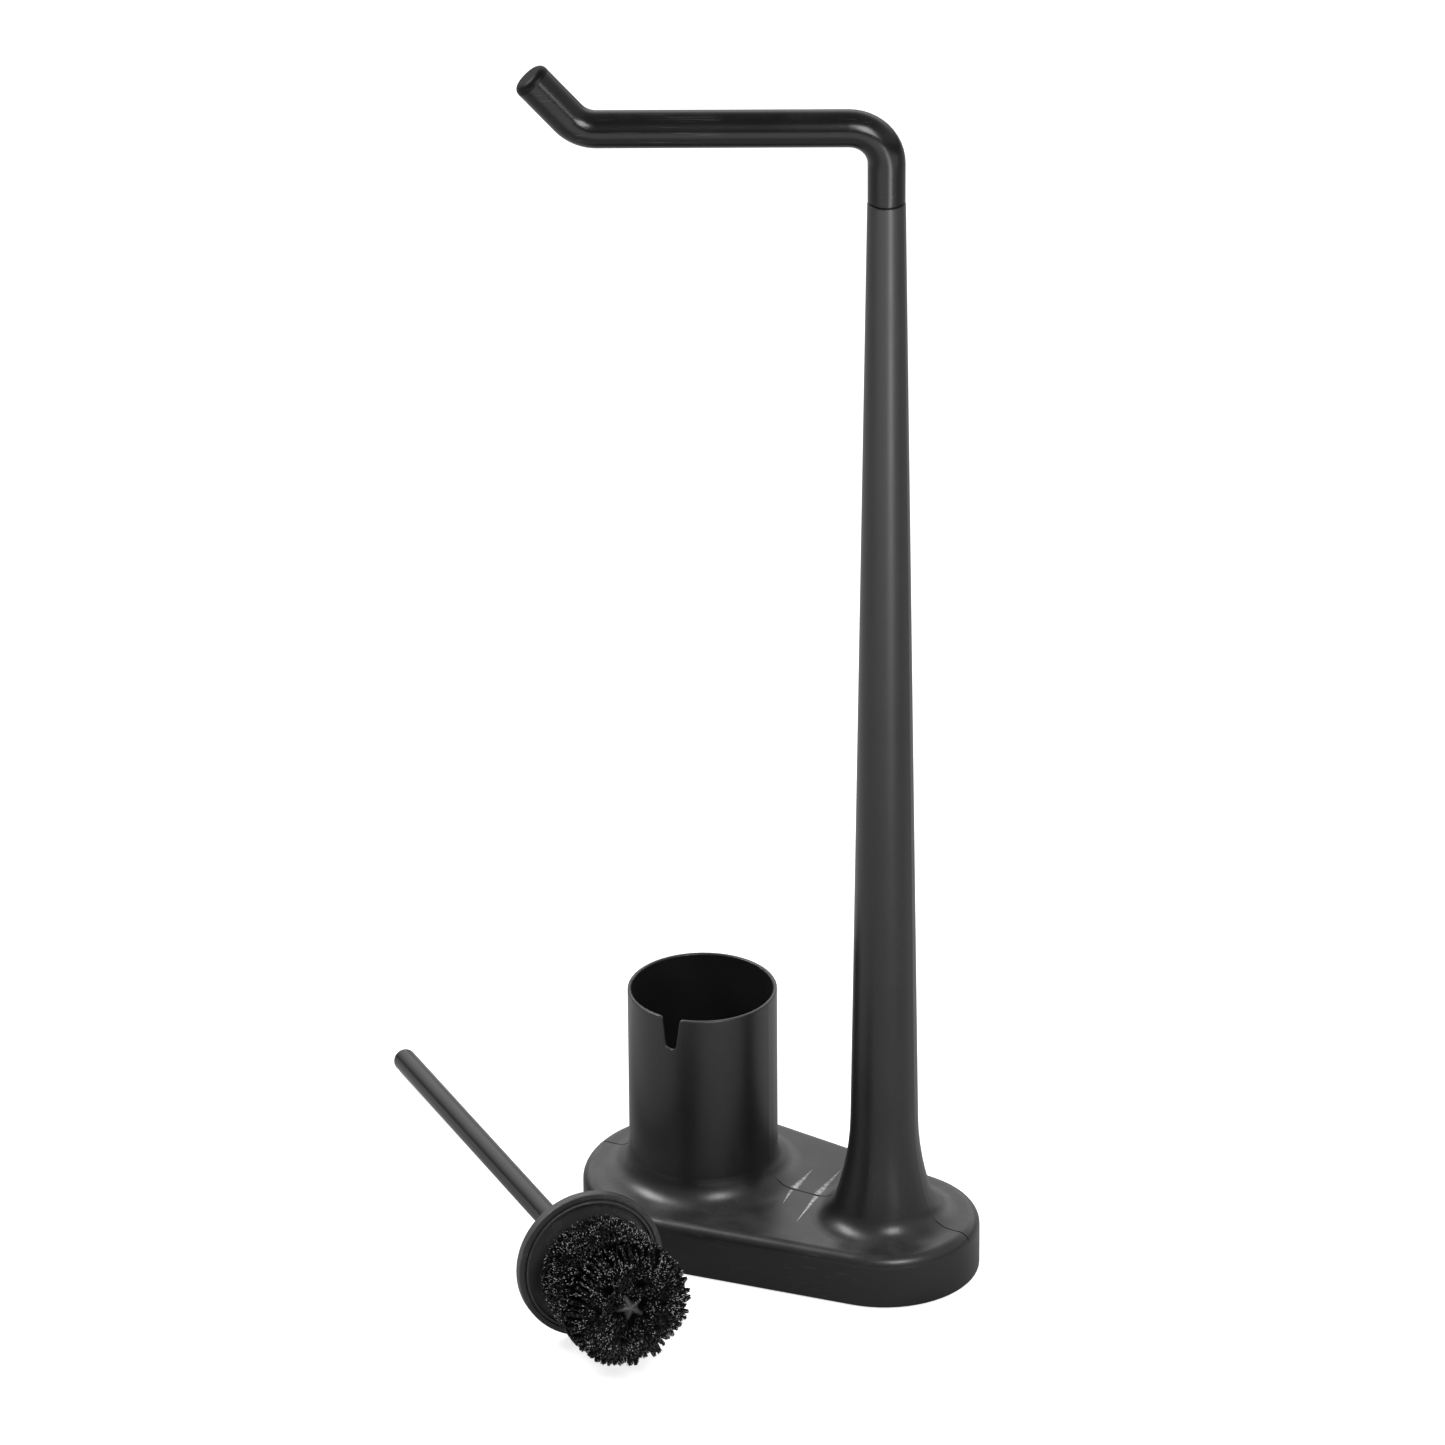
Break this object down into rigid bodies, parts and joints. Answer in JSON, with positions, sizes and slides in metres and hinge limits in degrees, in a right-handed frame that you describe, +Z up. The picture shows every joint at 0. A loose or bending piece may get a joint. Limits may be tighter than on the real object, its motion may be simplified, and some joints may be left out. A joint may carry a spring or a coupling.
{
  "type": "toilet brush holder",
  "caption": "Free-standing toilet brush holder: weighted base with an open brush cup and a tapering column that carries a swivelling bent roll arm, with a lidded brush lying beside it.",
  "frame": {"origin": "on the floor, under the axis of the brush cup, at the foot of the non-slip pad", "axes": "+X along the base from cup to column, +Z up along the column, -Y is the front with the cup's notch"},
  "size_m": [0.4403, 0.3078, 0.7718],
  "materials": {
    "stand_matte": "fine matte moulded texture",
    "plate_steel": "zinc plated sheet",
    "ballast_iron": "raw casting",
    "pad_rubber": "smooth sheet",
    "screw_steel": "zinc plated",
    "bearing_plastic": "smooth",
    "arm_satin": "satin black coating",
    "arm_cap": "semi gloss",
    "handle_satin": "satin black coating",
    "handle_cap": "satin",
    "lid_matte": "fine matte moulded texture",
    "core_plastic": "smooth",
    "bristle": "nylon bristle"
  },
  "bodies": {
    "stand": {"stand_shell": "stand_matte", "base_plate": "plate_steel", "ballast_weight": "ballast_iron", "non_slip_pad": "pad_rubber", "plate_screws": "screw_steel", "arm_socket": "bearing_plastic"},
    "arm": {"roll_arm": "arm_satin", "arm_end_cap": "arm_cap", "arm_spigot": "bearing_plastic", "swivel_washer": "bearing_plastic"},
    "brush": {"brush_handle": "handle_satin", "handle_end_cap": "handle_cap", "handle_insert": "bearing_plastic", "brush_lid": "lid_matte", "brush_stem": "screw_steel", "brush_core": "core_plastic", "side_tufts": "bristle", "tip_tufts": "bristle"}
  },
  "joints": [
    {"name": "arm_swivel", "type": "hinge", "parent": "stand", "child": "arm", "pos_m": [0.123, 0, 0.689], "axis": [0, 0, 1], "continuous": true},
    {"name": "brush_lift", "type": "slide", "parent": "stand", "child": "brush", "axis": [0, 0, 1], "range_m": [0, 0.4]}
  ]
}
